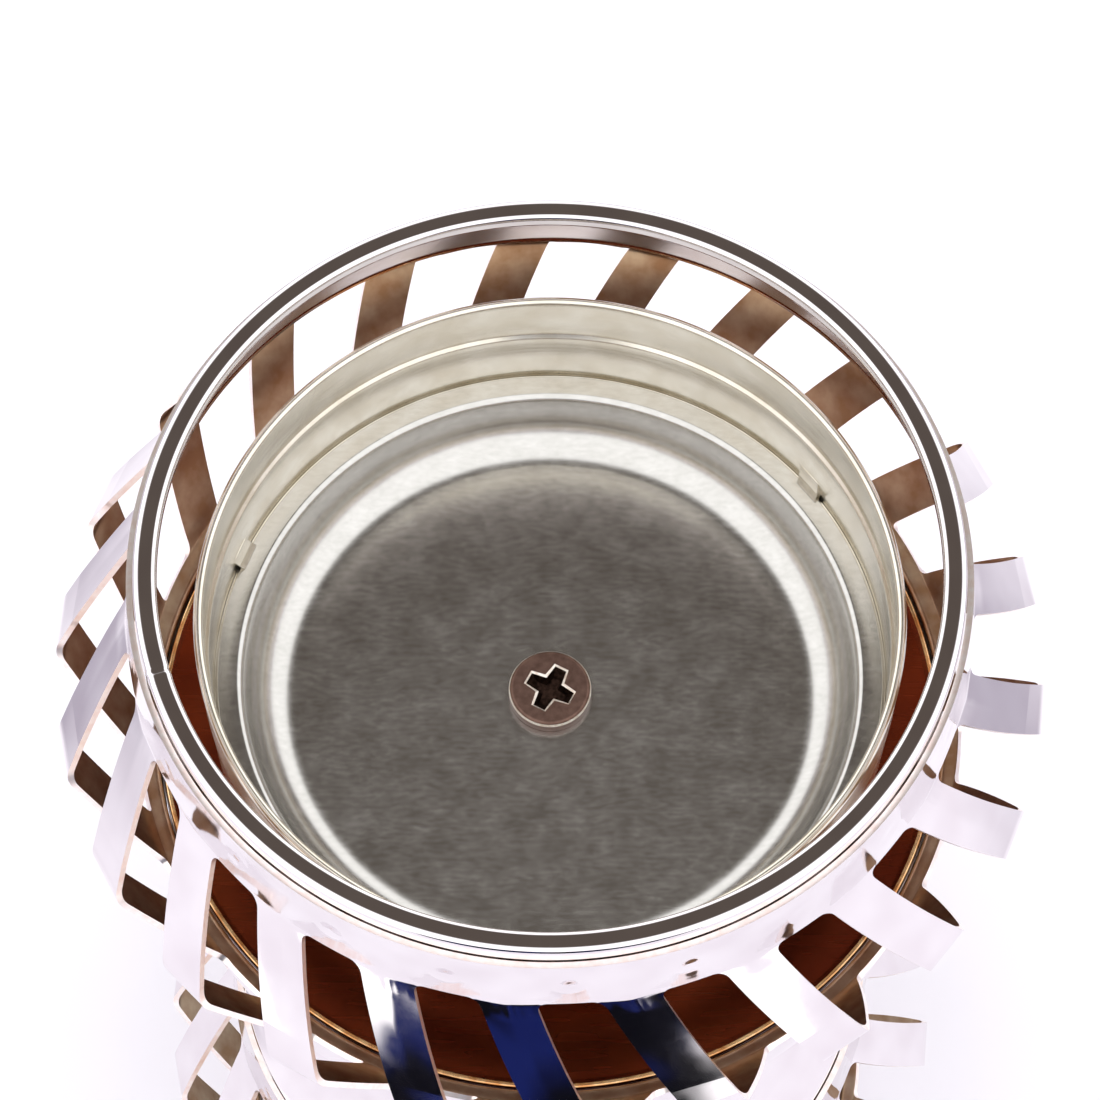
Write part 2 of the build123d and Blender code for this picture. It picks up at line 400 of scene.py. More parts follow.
# %% Bronzed steel and zinc steel
bronzed_steel, tree, shader = start_metal("bronzed_steel", "#6f554b", 0.4)
place = add(tree, "TexCoord").outputs["Object"]
bloom = add(tree, "TexNoise", {"Vector": place, "Scale": per_mm(0.8), "Detail": 4.0})
bronze_tone = two_tone(tree, bloom.outputs["Fac"], 0.3, 0.7, "#604a42", "#775e54")
tree.links.new(bronze_tone, shader.inputs["Base Color"])
bump = add(tree, "Bump", {"Height": bloom.outputs["Fac"], "Strength": 0.3, "Distance": 0.01 * MM})
tree.links.new(bump.outputs["Normal"], shader.inputs["Normal"])

# Bright bronze: driver wear on the slope round the recess, and a painted highlight on the head's rim.
wear_and_rim_highlight, tree, shader = start_metal("driver_wear_and_rim_highlight", "#fff6ee", 0.5)
place = add(tree, "TexCoord").outputs["Object"]
wear_and_highlight_noise = add(tree, "TexNoise", {"Vector": place, "Scale": per_mm(0.5), "Detail": 2.0})
wear_and_highlight_tone = two_tone(tree, wear_and_highlight_noise.outputs["Fac"], 0.35, 0.6, "#e6d8cc", "#fffaf4")
tree.links.new(wear_and_highlight_tone, shader.inputs["Base Color"])

# Painted shade: a near-black bronze for the bottom of the cross recess.
painted_recess_shade, tree, shader = start_metal("painted_recess_shade", "#30221c", 0.6)
place = add(tree, "TexCoord").outputs["Object"]
recess_shade_noise = add(tree, "TexNoise", {"Vector": place, "Scale": per_mm(0.4), "Detail": 3.0})
recess_shade_tone = two_tone(tree, recess_shade_noise.outputs["Fac"], 0.35, 0.65, "#1c130f", "#3c2c25")
tree.links.new(recess_shade_tone, shader.inputs["Base Color"])

zinc_steel, tree, shader = start_metal("clear_zinc_steel", "#b7babd", 0.3)
place = add(tree, "TexCoord").outputs["Object"]
bloom = add(tree, "TexNoise", {"Vector": place, "Scale": per_mm(1.5), "Detail": 5.0})
zinc_grey = two_tone(tree, bloom.outputs["Fac"], 0.3, 0.7, "#a5a9ae", "#c6c8c9")
tree.links.new(zinc_grey, shader.inputs["Base Color"])
rough = add(tree, "MapRange", {"Value": bloom.outputs["Fac"], "To Min": 0.22, "To Max": 0.42})
tree.links.new(rough.outputs["Result"], shader.inputs["Roughness"])
print("made", bronzed_steel.name, wear_and_rim_highlight.name, painted_recess_shade.name, zinc_steel.name)

# %% [markdown]
# ## The pressed strip cage
#
# On the real object a tube of sheet is slit into 22 strips between two plain bands. A press
# then pushes the bands together while it turns one, so that each strip folds outwards and
# leans over. It could be made by bending one strip and copying it round, but then the bands
# would show 22 joints. Here the drum is one sheet of points: rows follow the profile up, and
# columns go all the way round in the bands but only across the strips between them.
#
# The profile has the features that catch light: a ledge at the foot of the strips, a crisp
# crease at the nose, and a steep facet below it.

# %% Cage sizes
SHEET = 0.6
BAND_GAP = 0.1
STRIPS = 22
STRIP_WIDTH = 5.2
STRIP_TWIST = math.radians(16.4)
FIRST_WINDOW = math.radians(-87.5)
BAND_BELOW, RISE_TO_FOLD, FOLD_TO_BAND, BAND_ABOVE = 7.5, 13.0, 13.6, 7.6
BAND_FLARE = 0.5
LEDGE_WIDTH, LEDGE_RISE = 1.4, 0.7
FOLD_REACH, NOSE_INSET, NOSE_RISE = 8.75, 1.95, 3.4
BENDS = [0.4, 0.8, 2.0, 0.35, 0.4]
WINDOW_CORNER = 1.0
ACROSS_STRIP, ACROSS_WINDOW = 14, 18
PITCH = math.tau / STRIPS
COLUMNS = ACROSS_STRIP + ACROSS_WINDOW
upper_band = rim_radius + BAND_GAP + SHEET
lower_band = foot_radius + BAND_GAP + SHEET
print(f"pitch round the band {PITCH * upper_band:.2f} mm, strip {STRIP_WIDTH} mm")

# %% [markdown]
# ### Rows up the profile
#
# A window ends in small corner radii. Near each end the strip grows wider along a quarter
# circle, so the rows are placed closer together there, at the heights that the circle needs.

# %% Cage rows


def cage_rows(band, foot):
    """Profile rows of a cage: points, distance to the nearest window end, and zone."""
    low_crease = foot + BAND_BELOW
    fold = low_crease + RISE_TO_FOLD
    crease = fold + FOLD_TO_BAND
    ledge = low_crease + LEDGE_RISE
    nose = band + FOLD_REACH
    corners = [(band, foot), (band, low_crease), (band + LEDGE_WIDTH, ledge), (nose, fold),
               (nose - NOSE_INSET, fold + NOSE_RISE), (band + BAND_FLARE, crease),
               (band, crease + BAND_ABOVE)]
    path = np.array(fine(rounded(corners, BENDS), 0.4))
    along = np.concatenate([[0], np.cumsum(np.linalg.norm(np.diff(path, axis=0), axis=1))])
    low_end = np.interp(ledge, path[:, 1], along)
    high_end = np.interp(crease, path[:, 1], along)
    quarter = WINDOW_CORNER * (1 - np.cos(np.radians([0, 20, 38, 54, 70, 90])))
    ends = np.concatenate([low_end + quarter, high_end - quarter])
    clear = [s for s in along if min(abs(s - ends)) > 0.12]
    marks = np.sort(np.concatenate([clear, ends]))
    radius = np.interp(marks, along, path[:, 0])
    height = np.interp(marks, along, path[:, 1])
    inside = np.minimum(marks - low_end, high_end - marks)
    share = np.clip((high_end - marks) / (high_end - low_end), 0, 1)
    return radius, height, inside, share, ledge, crease


# %% [markdown]
# ### Columns round the drum
#
# Each strip is flat across, not curved like the bands, because a folded strip springs flat.
# Small faults are added in the mesh itself: strips that fold a little less than others, the
# band pulled outwards above each strip, fine puckers under the crease, and a dimple with a
# raised ring where the rim hoop is spot welded, centred above each window.

# %% Cage surface
WELD_PIT, WELD_RING = 0.07, 0.02
FOLD_FAULT, LEAN_FAULT = 0.22, 0.006
BAND_BULGE, PUCKER = 0.15, 0.007


def weld_mark(along, up):
    """Depth of a spot weld at a place beside its middle, and how much it was heated."""
    away = np.hypot(along, up)
    ring = WELD_RING * np.exp(-((away - 1.5) / 0.45) ** 2)
    return ring - WELD_PIT * np.exp(-(away / 0.55) ** 2), np.exp(-(away / 0.9) ** 2)


def cage_points(band, foot, seed):
    """All the points of a cage, row by row, and the heat at each."""
    radius, height, inside, share, ledge, crease = cage_rows(band, foot)
    draw = random.Random(seed)
    shy = [draw.uniform(0, FOLD_FAULT) for _ in range(STRIPS)]
    lean = [draw.uniform(-LEAN_FAULT, LEAN_FAULT) for _ in range(STRIPS)]
    half_band = STRIP_WIDTH / 2 + WINDOW_CORNER
    points, heats = [], []
    for r, z, d, s in zip(radius, height, inside, share):
        grow = WINDOW_CORNER - math.sqrt(WINDOW_CORNER**2 - max(0.0, WINDOW_CORNER - max(d, 0)) ** 2)
        half = STRIP_WIDTH / 2 + grow if d > 0 else half_band
        flat = min(1.0, max(0.0, d) / 2.0)
        for k in range(STRIPS):
            middle = FIRST_WINDOW + (k + 0.5) * PITCH + STRIP_TWIST * s + lean[k] * math.sin(math.pi * s)
            reach = r - shy[k] * math.sin(math.pi * s) ** 2
            u = np.linspace(-1, 1, ACROSS_STRIP + 1)
            side = u * half
            gap = PITCH - 2 * half / r
            v = np.arange(1, ACROSS_WINDOW) / ACROSS_WINDOW
            turn = np.concatenate([side / r, half / r + v * gap])
            beside = np.minimum(abs(turn), PITCH - abs(turn)) / (PITCH / 2)
            push = np.zeros_like(turn)
            if z > crease:
                push += BAND_BULGE * max(0.0, 1 - (z - crease) / 5) ** 2 * (1 - beside) ** 2
            elif z > ledge:
                fade = math.exp(-max(0.0, d) / 5) if s < 0.5 else 0.0
                push += BAND_BULGE * fade * (1 - beside) ** 2
                pucker = PUCKER * math.exp(-((d - 0.9) / 0.6) ** 2) if s < 0.5 else 0.0
                push[: ACROSS_STRIP + 1] += pucker * np.cos(side * math.tau / 1.0)
            weld_height = crease + BAND_ABOVE / 2 if s < 0.5 else foot + BAND_BELOW / 2
            depth, heat_here = weld_mark((turn - PITCH / 2) * r, z - weld_height)
            push += depth
            whole = reach + push
            around = middle + turn
            ring = np.stack([whole * np.cos(around), whole * np.sin(around)], 1)
            across = np.concatenate([side, np.zeros(ACROSS_WINDOW - 1)])
            out, beside_out = (math.cos(middle), math.sin(middle)), (-math.sin(middle), math.cos(middle))
            chord = np.outer(whole - half**2 / (2 * r), out) + np.outer(across, beside_out)
            strip = np.arange(COLUMNS) <= ACROSS_STRIP
            place = np.where(strip[:, None], ring * (1 - flat) + chord * flat, ring)
            points.append(np.column_stack([place, np.full(COLUMNS, z)]))
            heats.append(heat_here * (z > crease or z < ledge))
    return np.concatenate(points), np.concatenate(heats), inside


def pressed_cage(name, band, foot, seed):
    """One drum of sheet: bands all round, strips between them, thickness and edge radius."""
    points, heats, inside = cage_points(band, foot, seed)
    whole_row = STRIPS * COLUMNS
    faces = []
    for row in range(len(inside) - 1):
        in_band = max(inside[row], inside[row + 1]) < 1e-6
        for k in range(STRIPS):
            for j in range(COLUMNS if in_band else ACROSS_STRIP):
                a = row * whole_row + k * COLUMNS + j
                b = row * whole_row + (k * COLUMNS + j + 1) % whole_row
                faces.append((a, b, b + whole_row, a + whole_row))
    used = np.unique(np.array(faces))
    order = np.full(len(points), -1)
    order[used] = np.arange(len(used))
    faces = order[np.array(faces)].tolist()
    cage = make_piece(name, points[used], faces, closed=False)
    heat_mark = cage.data.attributes.new("heat", "FLOAT", "POINT")
    heat_mark.data.foreach_set("value", heats[used].astype(np.float32))
    wall = cage.modifiers.new("sheet_thickness", "SOLIDIFY")
    wall.thickness = SHEET * MM
    wall.offset = -1
    wall.material_offset, wall.material_offset_rim = 1, 2
    round_edges(cage, 0.2, 50).material = 2
    return cage


# %% Make both cages
plate = [rose_chrome, copper_flash, sheared_edge]
upper_cage = pressed_cage("upper_strip_cage", upper_band, upper_foot, 11)
finish_piece(upper_cage, plate, "rose_chrome", "upper_cage")
lower_cage = pressed_cage("lower_strip_cage", lower_band, lower_foot, 29)
finish_piece(lower_cage, plate, "rose_chrome", "lower_cage")

# %% [markdown]
# ## Hoops with a rolled bead
#
# The rim is finished by rolling the hoop's edge over into a bead, so there is no raw edge to
# cut a finger. The strip is rolled flat first and then closed into a ring, which leaves a butt
# seam across the bead. The rolls also press its top nearly flat. A plain torus would miss all
# of this, so the outline is drawn as the roll really lies, and the seam is pressed in while
# turning it.

# %% Rolled hoops
BEAD = 1.1
ROLL_SQUARE = 4.5
HOOP_SHEET = 0.5
EASED = 0.12
FOOT_FLAT = 0.15
SEAM_AT = math.radians(197)
SEAM_TURNS = 720


def flat_roll(middle, last):
    """The roll's outline up to an angle in degrees: nearly flat on top and round underneath."""
    points = []
    for turn in np.radians(np.linspace(0, last, 48)):
        side, up = math.cos(turn), math.sin(turn)
        power = ROLL_SQUARE if up > 0 else 2.0
        size = BEAD / (abs(side)**power + abs(up)**power) ** (1 / power)
        points.append((middle[0] + size * side, middle[1] + size * up))
    return points


def hoop_outline(outer, bead_z, skirt_end):
    """A skirt with its end rolled into a bead that curls back to the skirt's inner face."""
    up = 1 if bead_z > skirt_end else -1
    middle = (outer - BEAD, 0.0)
    over = flat_roll(middle, 232)
    tuck = arc((middle[0] - 0.40, -0.66), 0.34, 232, 380, 8)
    depth = abs(bead_z - skirt_end)
    skirt = outer - HOOP_SHEET
    inner = [(skirt, -0.95), (skirt, -depth + EASED), (skirt + EASED, -depth)]
    outer_side = [(outer - EASED, -depth), (outer, -depth + EASED), (outer, -1.2)]
    return [(r, bead_z + up * z) for r, z in over + tuck + fine(inner, 1.0) + fine(outer_side, 1.0)]


def butt_seam(radius, height, around):
    """Press a narrow groove across the roll where its two ends meet."""
    away = (around - SEAM_AT) * radius.max()
    groove = 0.14 * np.exp(-(away / 0.16) ** 2) - 0.05 * np.exp(-((away - 0.55) / 0.3) ** 2)
    return radius - np.where(radius < radius.max() - 0.02, -groove, groove) * 0.6, height - groove * 0.4


rim_bead_z = hoop_top - BEAD
rim_outline = hoop_outline(rim_radius, rim_bead_z, hoop_bottom)
rim_hoop = lathe("rolled_rim_hoop", rim_outline, turns=SEAM_TURNS, shift=butt_seam)
finish_piece(rim_hoop, [rose_chrome], "rose_chrome", "rim_hoop")


def foot_seam(radius, height, around):
    """The foot hoop's seam, and its bead worn flat on the table."""
    radius, height = butt_seam(radius, height, around)
    return radius, np.maximum(height, 0.0)


foot_outline = hoop_outline(foot_radius, BEAD - FOOT_FLAT, foot_hoop_top)
foot_hoop = lathe("rolled_foot_hoop", foot_outline, turns=SEAM_TURNS, shift=foot_seam)
finish_piece(foot_hoop, [rose_chrome], "rose_chrome", "foot_hoop")

# %% [markdown]
# ## Spun neck
#
# A neck like this is spun on a lathe from a tube: a roller presses it against a waisted
# former. The curve is a single arc, and the roller leaves faint rings about 1.2 mm apart,
# which are put in the mesh as ripples of a few microns.

# %% Neck
WAIST = 25.0
ROLLER_STEP, ROLLER_DEPTH = 1.2, 0.012


def through(a, b, c, steps):
    """Points on the circle through three profile points, from the first to the last."""
    (ax, ay), (bx, by), (cx, cy) = a, b, c
    d = 2 * (ax * (by - cy) + bx * (cy - ay) + cx * (ay - by))
    ux = ((ax**2 + ay**2) * (by - cy) + (bx**2 + by**2) * (cy - ay) + (cx**2 + cy**2) * (ay - by)) / d
    uy = ((ax**2 + ay**2) * (cx - bx) + (bx**2 + by**2) * (ax - cx) + (cx**2 + cy**2) * (bx - ax)) / d
    first, last = math.atan2(ay - uy, ax - ux), math.atan2(cy - uy, cx - ux)
    sweep = (last - first + math.tau) % math.tau
    if sweep > math.pi:
        sweep -= math.tau
    size = math.hypot(ax - ux, ay - uy)
    return [(ux + size * math.cos(first + sweep * t), uy + size * math.sin(first + sweep * t))
            for t in np.linspace(0, 1, steps)]


def roller_rings(radius, height, around):
    """Ripples that a spinning roller leaves on the waist, following a slow spiral."""
    spiral = height + ROLLER_STEP * around / math.tau
    waist = np.clip((rim_radius - radius) / 6, 0, 1)
    return radius - ROLLER_DEPTH * waist * (1 + np.sin(spiral * math.tau / ROLLER_STEP)), height


neck_low, neck_high, _ = span("neck")
waist_z = (lower_top + upper_foot) / 2
waist = through((foot_radius, lower_top), (WAIST, waist_z), (rim_radius, upper_foot), 190)
neck_path = fine([(foot_radius, neck_low), (foot_radius, lower_top)], 1.0) + waist[1:]
neck_path += fine([waist[-1], (rim_radius, neck_high)], 1.0)[1:]
neck = lathe("spun_neck", thicken(neck_path, SHEET), turns=240, shift=roller_rings)
round_edges(neck, 0.12)
finish_piece(neck, [rose_chrome], "rose_chrome", "neck")

# %% [markdown]
# ## Discs
#
# A disc stamped from sheet has a slightly raised burr side and a rounded die side. The rounded
# lip is what shows as a bright line round the copper disc, just inside the drum's ledge.

# %% Copper disc and base plate
HOLE = 2.2
LIP_RISE, LIP_WIDTH = 0.1, 0.45


def stamped_disc(name, radius, bottom, top):
    """A disc with a raised, rounded lip and an M4 clearance hole."""
    lip = top + LIP_RISE
    upper = rounded([(HOLE, top), (radius - 2 * LIP_WIDTH, top), (radius - LIP_WIDTH, lip),
                     (radius, lip), (radius, bottom)], [0.4, 0.3, 0.22])
    outline = fine(upper, 3.0) + fine([(radius - 0.1, bottom), (HOLE, bottom)], 6.0)
    return lathe(name, outline)


support_disc = stamped_disc("copper_disc", disc_radius, disc_bottom, disc_top)
# Painted highlight: faces on top of the raised lip take the light golden copper.
for face in support_disc.data.polygons:
    middle = face.center / MM
    if math.hypot(middle.x, middle.y) > disc_radius - LIP_WIDTH - 0.1 and middle.z > disc_top + 0.03:
        face.material_index = 1
round_edges(support_disc, 0.1)
finish_piece(support_disc, [lacquered_copper, lip_highlight_copper], "copper_disc", "support_disc")

plate_bottom, plate_top, plate_radius = span("base_plate")
base_plate = stamped_disc("stamped_base_plate", plate_radius, plate_bottom, plate_top)
round_edges(base_plate, 0.1)
finish_piece(base_plate, [zinc_steel], "zinc_steel", "base_plate")

# %% [markdown]
# ## The dish
#
# A shallow pan pressed in one hit. Two things sell it: the wide bend at the foot of the wall,
# which gathers light into a bright ring, and a floor that is not quite flat. The floor is
# given a slow buckle of a few hundredths of a millimetre with noise, in the mesh.

# %% Dish
CUP_SHEET = 0.5
RIM_WIDTH, WALL_LEAN, FLOOR_BEND = 2.4, 1.6, 4.4
BUCKLE, BUCKLE_SPAN = 0.05, 9


def floor_buckle(radius, height, around):
    """A gentle unevenness of the floor that fades out up the wall."""
    moved = height.copy()
    calm = np.clip((dish_radius - 3 - radius) / 4, 0, 1)
    flat = np.stack([radius * np.cos(around), radius * np.sin(around)], -1)
    for i, j in np.ndindex(radius.shape):
        if calm[i, j] > 0:
            spot = Vector((flat[i, j, 0] / BUCKLE_SPAN, flat[i, j, 1] / BUCKLE_SPAN, 0))
            moved[i, j] += BUCKLE * calm[i, j] * noise.noise(spot)
    return radius, moved


dish_floor = dish_bottom + CUP_SHEET
shoulder = dish_radius - RIM_WIDTH
pan = rounded([(HOLE, dish_floor), (shoulder - WALL_LEAN, dish_floor), (shoulder, dish_rim),
               (dish_radius, dish_rim)], [FLOOR_BEND, 0.8])
pan_path = fine(pan, 1.0)[::-1]
dish = lathe("galvanised_dish", thicken(pan_path, CUP_SHEET), turns=240, shift=floor_buckle)
round_edges(dish, 0.1)
finish_piece(dish, [galvanised], "galvanised_steel", "dish")

# %% [markdown]
# ## The collar
#
# The collar is drawn, then stepped out near the top, then its lip is curled. Three tongues are
# lanced from the wall and bent over the dish's rim to hold it down. They lie almost flush, and
# lean a little to one side, so they show mostly where they cross the dark gap beside the dish.

# %% Collar
STEP, STEP_DROP, SHELF, CURL = 0.4, 6.4, 0.7, 0.45
TONGUE_HALF, TONGUE_LEAN = 1.6, 0.3
wall = collar_radius - STEP - CUP_SHEET - (CURL - CUP_SHEET / 2)
step_z = collar_top - STEP_DROP


def collar_outline():
    """Shelf, wall, step and curled lip as one closed outline."""
    shelf_top, back, wide = collar_bottom + CUP_SHEET, wall + CUP_SHEET, wall + STEP
    inner = rounded([(wall - SHELF, shelf_top), (wall, shelf_top), (wall, step_z - STEP),
                     (wide, step_z), (wide, collar_top - 0.6)], [0.1, 0.3, 0.25])
    lip = arc((wide + CUP_SHEET / 2, collar_top - CURL), CURL, 210, -40, 22)
    outer = [(wide + CUP_SHEET, collar_top - 1.0), (wide + CUP_SHEET, step_z - 0.2),
             (back, step_z - 0.6), (back, collar_bottom + EASED), (back - EASED, collar_bottom),
             (wall - SHELF, collar_bottom)]
    return fine(inner, 1.0) + lip + fine(outer, 1.0)


collar = lathe("drawn_collar", collar_outline())
round_edges(collar, 0.06)
finish_piece(collar, [champagne_nickel], "champagne_steel", "cup_collar")


def bent_tongue(name, degrees):
    """A lanced tongue: down the wall and over the dish's rim."""
    run = [(wall - 0.04, dish_rim + 2.2), (wall - 0.4, dish_rim + 0.9), (wall - 0.85, dish_rim + 0.1)]
    outline = thicken(fine(rounded(run, [1.0]), 0.3)[::-1], -CUP_SHEET)
    count = len(outline)
    points = []
    sides = np.linspace(-1, 1, 9)
    for side in sides:
        beside = side * TONGUE_HALF * (1 - 0.12 * abs(side) ** 6)
        for r, z in outline:
            lean = TONGUE_LEAN * (z - dish_rim - 1.2)
            points.append((*spun(r, beside + lean, math.radians(degrees)), z))
    faces = grid_faces(len(sides), count)
    last = (len(sides) - 1) * count
    for j in range(count // 2 - 1):
        cap = (j, j + 1, count - 2 - j, count - 1 - j)
        faces += [cap, tuple(last + corner for corner in cap[::-1])]
    tongue = make_piece(name, points, faces)
    round_edges(tongue, 0.07)
    tongue.data.materials.append(champagne_nickel)
    return tongue


for number, degrees in enumerate((38, 158, 278), 1):
    bent_tongue(f"collar_tongue_{number}", degrees)
print("three tongues at 38, 158 and 278 degrees")

# %% [markdown]
# ## The screw
#
# A thin pan head with a cross recess. The recess is cut with a tapered cross, as the punch
# does it, using a Boolean that is applied at once. The punch widens at the top, which leaves
# a narrow slope round the recess. That slope is given the bright finish, because it is there
# that a driver wears the bronze off. The head's rim gets the same bright colour as a painted
# highlight, and the bottom of the recess a near-black colour as painted shade.

# %% Screw
_, head_top, head_radius = span("centre_screw")
RECESS_TURN = math.radians(62.5)
RECESS_DEPTH, WORN = 1.1, 0.16
HEAD_ROUND = 0.45


def cross_punch(depth):
    """A tapered cross, wide at the top of the head and narrow at the bottom of the recess."""
    def outline(tip, arm, z):
        quarter = [(tip, -arm), (tip, arm), (arm * 1.35, arm * 1.35)]
        turns = np.arange(4) * math.pi / 2 + RECESS_TURN
        return [(*spun(x, y, turn), z) for turn in turns for x, y in quarter]

    rings = outline(2.75, 1.06, head_top + 0.3) + outline(2.45, 0.76, head_top)
    rings += outline(2.29, 0.6, head_top - WORN) + outline(1.5, 0.4, head_top - depth)
    faces = grid_faces(4, 12) + [tuple(range(12)), tuple(range(36, 48))]
    return make_piece("recess_punch", rings, faces, "screw")


def threaded(bottom, top, outer, body, name, pitch=0.7, sides=36):
    """A rod with a real helical thread, cut in the mesh."""
    rows = int((top - bottom) / pitch * 8)
    height = np.linspace(bottom, top, rows)
    around = np.arange(sides) / sides * math.tau
    z, a = np.meshgrid(height, around, indexing="ij")
    saw = np.abs(((z / pitch - a / math.tau) % 1.0) * 2 - 1)
    lead = np.clip(np.minimum(z - bottom, top - z) / 0.8, 0.35, 1)
    radius = outer - 0.38 * np.clip(saw * 1.25 - 0.12, 0, 1) - 0.45 * (1 - lead)
    points = np.stack([radius * np.cos(a), radius * np.sin(a), z], -1).reshape(-1, 3)
    faces = grid_faces(rows, sides)
    faces += [tuple(range(sides))[::-1], tuple(range((rows - 1) * sides, rows * sides))]
    return make_piece(name, points, faces, body)


head = [(0.001, head_top), (head_radius, head_top), (head_radius, dish_floor), (0.001, dish_floor)]
head_outline = fine(rounded(head, [HEAD_ROUND, 0.05]), 1.5)
screw = lathe("pan_head_screw", head_outline, "screw", turns=96)
punch = cross_punch(RECESS_DEPTH)
cut = screw.modifiers.new("recess", "BOOLEAN")
cut.object = punch
cut.operation = "DIFFERENCE"
bpy.context.view_layer.update()
cut_mesh = bpy.data.meshes.new_from_object(screw.evaluated_get(bpy.context.evaluated_depsgraph_get()))
screw.modifiers.clear()
screw.data = cut_mesh
bpy.data.objects.remove(punch)
round_edges(screw, 0.05, 35)
screw.data.materials.clear()
finish_piece(screw, [bronzed_steel, wear_and_rim_highlight, painted_recess_shade], "bronzed_steel", "centre_screw")
# Painted highlight on the head's rim, driver wear on the recess slope, painted shade in the recess bottom.
for face in screw.data.polygons:
    middle = face.center / MM
    out = math.hypot(middle.x, middle.y)
    on_rim = out > head_radius - 0.1 and middle.z > head_top - HEAD_ROUND
    on_slope = out < 2.6 and -WORN < middle.z - head_top < -0.01
    if on_rim or on_slope:
        face.material_index = 1
    elif out < 2.4 and dish_floor + 0.1 < middle.z < head_top - WORN:
        face.material_index = 2
shank_low, _, _ = span("centre_screw")
shank = threaded(shank_low, dish_floor - 0.01, 1.95, "screw", "screw_thread")
shank.data.materials.append(zinc_steel)

# %% [markdown]
# ## Spacer, washers, nuts and rod
#
# These sit inside, but a maker turns the stand over. A nut is a hexagon whose corners are
# chamfered by a cone, so each point's distance from the axis is the smaller of the hexagon's
# and the cone's. The rod's thread is a real helix with a 0.7 mm pitch, as on M4.

# %% Hardware


def turned_ring(name, node_name):
    """A washer or spacer with the edge radius of a bar-turned part."""
    low, high, outer = span(node_name)
    outline = fine([(HOLE, low), (outer, low), (outer, high), (HOLE, high)], 1.5)
    ring = lathe(name, outline, turns=96)
    round_edges(ring, 0.15)
    finish_piece(ring, [zinc_steel], "zinc_steel", node_name)


def chamfered_nut(name, node_name, flats=7.0, sides=120):
    """A hexagon nut with 30 degree chamfers and a countersunk bore."""
    low, high, _ = span(node_name)
    around = np.arange(sides) / sides * math.tau
    hexagon = flats / 2 / np.cos((around - math.pi / 2 + math.pi / 6) % (math.pi / 3) - math.pi / 6)
    cone = np.minimum(hexagon, flats / 2 * 0.97)
    depth = (hexagon - cone) * math.tan(math.radians(30))
    bore, mouth = np.full(sides, 1.7), np.full(sides, 2.2)
    rings = [(cone, low), (hexagon, low + depth), (hexagon, high - depth), (cone, high),
             (mouth, high), (bore, high - 0.5), (bore, low + 0.5), (mouth, low)]
    points = [np.column_stack([r * np.cos(around), r * np.sin(around), np.broadcast_to(z, sides)])
              for r, z in rings]
    nut = make_piece(name, np.concatenate(points), grid_faces(len(rings), sides, True))
    round_edges(nut, 0.08, 25)
    finish_piece(nut, [zinc_steel], "zinc_steel", node_name)


turned_ring("turned_spacer", "spacer")
turned_ring("washer_under_disc", "disc_washer")
turned_ring("washer_under_base", "base_washer")
chamfered_nut("coupling_nut_m4", "coupling_nut")
chamfered_nut("base_nut_m4", "base_nut")
rod_low, rod_high, rod_radius = span("tie_rod")
rod = threaded(rod_low, rod_high, rod_radius, "stand", "threaded_tie_rod")
finish_piece(rod, [zinc_steel], "zinc_steel", "tie_rod")

# %% [markdown]
# ## Floor
#
# A pale, plain floor. It is lit brightly enough to come out white, and it also does quiet
# work: the noses of the strips mirror it, which is where their cool grey comes from. It ends
# 45 cm in front, as a table does, so that the slopes of the front strips look past its edge.
# Further back its colour is painted down to a soft lavender grey, a painted shade for the
# light falling off there, and the side strips pick that up.

# %% Floor
floor_mesh = bpy.data.meshes.new("studio_floor")
reach, front = 3.0, 0.45
corners = [(-reach, -front, 0), (reach, -front, 0), (reach, reach, 0), (-reach, reach, 0)]
floor_mesh.from_pydata(corners, [], [(0, 1, 2, 3)])
floor = bpy.data.objects.new("studio_floor", floor_mesh)
bpy.context.scene.collection.objects.link(floor)
paper = bpy.data.materials.new("white_studio_paper")
paper.use_nodes = True
tree, shader = paper.node_tree, paper.node_tree.nodes["Principled BSDF"]
shader.inputs["Roughness"].default_value = 0.9
place = add(tree, "TexCoord").outputs["Object"]
# Painted shade: the floor's colour darkens behind the object, from 17 to 27 cm out.
far = add(tree, "VectorMath", {0: place}, operation="LENGTH")
away = add(tree, "MapRange", {"Value": far.outputs["Value"], "From Min": 0.17, "From Max": 0.27})
behind = add(tree, "SeparateXYZ", {"Vector": place})
back_half = add(tree, "MapRange", {"Value": behind.outputs["Y"], "From Min": -0.04, "From Max": 0.06})
shade = add(tree, "Math", {0: away.outputs["Result"], 1: back_half.outputs["Result"]}, operation="MULTIPLY")
paper_falloff_shade_tone = two_tone(tree, shade.outputs["Value"], 0.0, 1.0, "#e8e5ec", "#a7a2ae")
tree.links.new(paper_falloff_shade_tone, shader.inputs["Base Color"])
floor_mesh.materials.append(paper)
print("floor", reach * 2, "m across, ending", front, "m in front")

# %% [markdown]
# ## Light
#
# Chrome shows its surroundings, so the surroundings are designed. They are a white tent all
# round, with two dark places. One is the opening overhead behind the object, which level
# surfaces mirror towards the camera, so the dish and disc come out dark. The other is the gap
# at the tent's front, low down, which the front strips mirror as near-black and deep blue.
# A world shader may use directions freely, since it is light and not a finish.

# %% White tent with dark openings
world = bpy.data.worlds.new("white_tent")
bpy.context.scene.world = world
world.use_nodes = True
tree = world.node_tree
tree.nodes.clear()
direction = add(tree, "TexCoord").outputs["Generated"]


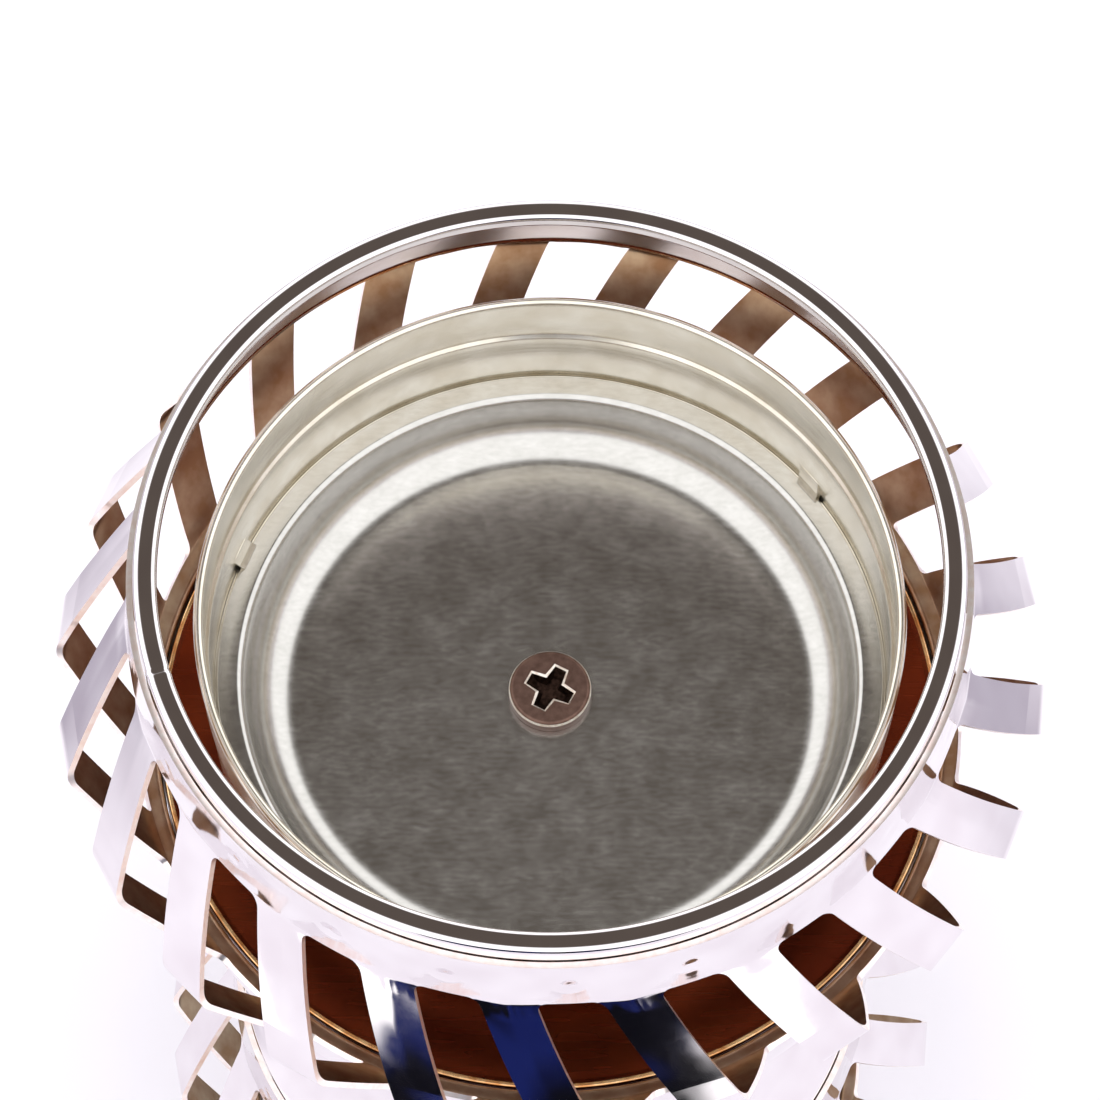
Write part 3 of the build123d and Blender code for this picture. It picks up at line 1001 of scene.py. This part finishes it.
def opening(azimuth, elevation, full, edge, rough=0.0, grain=6.0):
    """1 inside a round opening of the tent and 0 outside; angles are in degrees."""
    a, e = math.radians(azimuth), math.radians(elevation)
    towards = (math.sin(a) * math.cos(e), math.cos(a) * math.cos(e), math.sin(e))
    dot = add(tree, "VectorMath", {0: direction, 1: towards}, operation="DOT_PRODUCT")
    angle = add(tree, "Math", {0: dot.outputs["Value"]}, operation="ARCCOSINE")
    ragged = add(tree, "TexNoise", {"Vector": direction, "Scale": grain, "Detail": 2.0})
    offset = add(tree, "Math", {0: ragged.outputs["Fac"], 1: rough, 2: -rough / 2},
                 operation="MULTIPLY_ADD")
    total = add(tree, "Math", {0: angle.outputs["Value"], 1: offset.outputs["Value"]}, operation="ADD")
    inside = add(tree, "MapRange", {"Value": total.outputs["Value"], "From Min": math.radians(full),
                                    "From Max": math.radians(edge), "To Min": 1.0, "To Max": 0.0},
                 interpolation_type="SMOOTHSTEP")
    return inside.outputs["Result"]


TENT_LEVEL = 1.7
overhead = opening(0, 66, 12, 22)
front_gap = opening(179, -2, 26, 29, 0.35)
blue_part = add(tree, "TexNoise", {"Vector": direction, "Scale": 7.0, "Detail": 1.0})
gap_colour = two_tone(tree, blue_part.outputs["Fac"], 0.47, 0.62, "#0b0b10", "#151d4e")
sky = add(tree, "Mix", {"Factor": overhead, "A": linear("#ffffff"), "B": linear("#4c453f")},
          data_type="RGBA")
tent = add(tree, "Mix", {"Factor": front_gap, "A": sky.outputs["Result"], "B": gap_colour},
           data_type="RGBA")
back = add(tree, "Background", {"Color": tent.outputs["Result"], "Strength": TENT_LEVEL})
add(tree, "OutputWorld", {"Surface": back.outputs["Background"]})
print("tent level", TENT_LEVEL)

# %% [markdown]
# ## Camera and colour
#
# The camera looks down steeply from the front, with a long lens from about 45 cm. It aims
# a little above the rim's middle. Standard colour keeps the whites clean.

# %% Camera
camera_data = bpy.data.cameras.new("camera")
camera = bpy.data.objects.new("camera", camera_data)
bpy.context.scene.collection.objects.link(camera)
bpy.context.scene.camera = camera
ELEVATION, DISTANCE = math.radians(64.5), 450
SENSOR = 36
LENS = 4900 / 1100 * SENSOR
AIM_UP = math.atan(17 / 4900)
camera_data.sensor_width = SENSOR
camera_data.lens = LENS
camera_data.clip_start, camera_data.clip_end = 0.01, 20
camera.location = (0, -DISTANCE * math.cos(ELEVATION) * MM,
                   (rim_bead_z + DISTANCE * math.sin(ELEVATION)) * MM)
camera.rotation_euler = (math.pi / 2 - (ELEVATION - AIM_UP), 0, 0)
bpy.context.scene.view_settings.view_transform = "Standard"
print("camera at", [round(v, 3) for v in camera.location])
